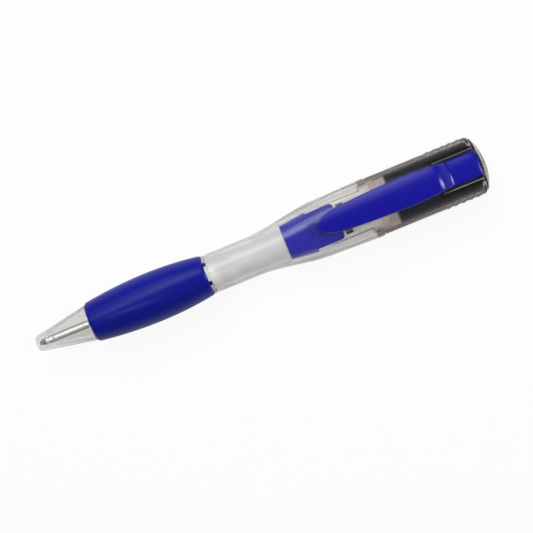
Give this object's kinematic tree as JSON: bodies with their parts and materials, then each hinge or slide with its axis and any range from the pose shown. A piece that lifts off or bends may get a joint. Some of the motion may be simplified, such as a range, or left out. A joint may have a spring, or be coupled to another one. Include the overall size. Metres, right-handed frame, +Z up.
{
  "type": "flash drive pen",
  "caption": "Twist-action ballpoint pen with a swollen rubber grip, whose rear end is a pull-off USB flash drive with a pocket clip.",
  "frame": {"origin": "centre of the pen's box, on the surface that it lies on with its flat back", "axes": "+X along the pen from the tip to the drive's domed end, +Z up to the clip, +Y across"},
  "size_m": [0.145, 0.0184, 0.0166],
  "materials": {
    "clear_plastic": "clear polished plastic",
    "frosted_plastic": "frosted translucent plastic",
    "smoke_plastic": "smoke-tinted clear plastic",
    "blue_rubber": "smooth satin rubber, dark blue",
    "blue_plastic": "glossy moulded plastic, royal blue",
    "white_plastic": "moulded plastic, off-white",
    "grey_plastic": "moulded plastic, grey",
    "steel": "bright nickel-plated steel",
    "gold": "gold-plated contacts",
    "ink": "ballpoint ink",
    "board_black": "black solder mask",
    "black_plastic": "moulded plastic, black",
    "chip_black": "moulded chip package",
    "ceramic": "ceramic capacitor",
    "led_lens": "clear moulded lens"
  },
  "bodies": {
    "rear_barrel": {"rear_barrel": "frosted_plastic", "twist_cam_tube": "grey_plastic", "plug_holder": "blue_plastic"},
    "writing_end": {"front_barrel": "clear_plastic", "grip_sleeve": "blue_rubber", "key_collar": "white_plastic"},
    "refill": {"refill_tube": "steel", "refill_tip": "steel", "ink_column": "ink", "twist_plunger": "white_plastic"},
    "ball": {"writing_ball": "steel"},
    "drive": {"drive_housing": "smoke_plastic", "housing_bezel": "clear_plastic", "circuit_board": "board_black", "core_cover": "black_plastic", "flash_chip": "chip_black", "controller_chip": "chip_black", "crystal": "steel", "activity_led": "led_lens", "capacitor_1": "ceramic", "capacitor_2": "ceramic", "capacitor_3": "ceramic", "plug_shell": "steel", "plug_tongue": "white_plastic", "plug_contact_1": "gold", "plug_contact_2": "gold", "plug_contact_3": "gold", "plug_contact_4": "gold", "clip_root": "blue_plastic"},
    "clip": {"clip_arm": "blue_plastic"}
  },
  "joints": [
    {"name": "twist", "type": "hinge", "parent": "rear_barrel", "child": "writing_end", "pos_m": [-0.0162, 0, 0.00765], "axis": [1, 0, 0], "range_deg": [0, 180]},
    {"name": "refill_slide", "type": "slide", "parent": "writing_end", "child": "refill", "axis": [-1, 0, 0], "range_m": [0, 0.0045]},
    {"name": "ball_roll", "type": "hinge", "parent": "refill", "child": "ball", "pos_m": [-0.0712, 0, 0.00765], "axis": [0, 1, 0], "continuous": true},
    {"name": "drive_pull", "type": "slide", "parent": "rear_barrel", "child": "drive", "axis": [1, 0, 0], "range_m": [0, 0.03]},
    {"name": "clip_flex", "type": "hinge", "parent": "drive", "child": "clip", "pos_m": [0.0604, 0, 0.01295], "axis": [0, 1, 0], "range_deg": [0, 6], "stiffness_Nm_per_rad": 1.5}
  ],
  "couplings": [
    {"joint": "twist", "follows": "refill_slide", "rad_per_m": 698.13}
  ]
}
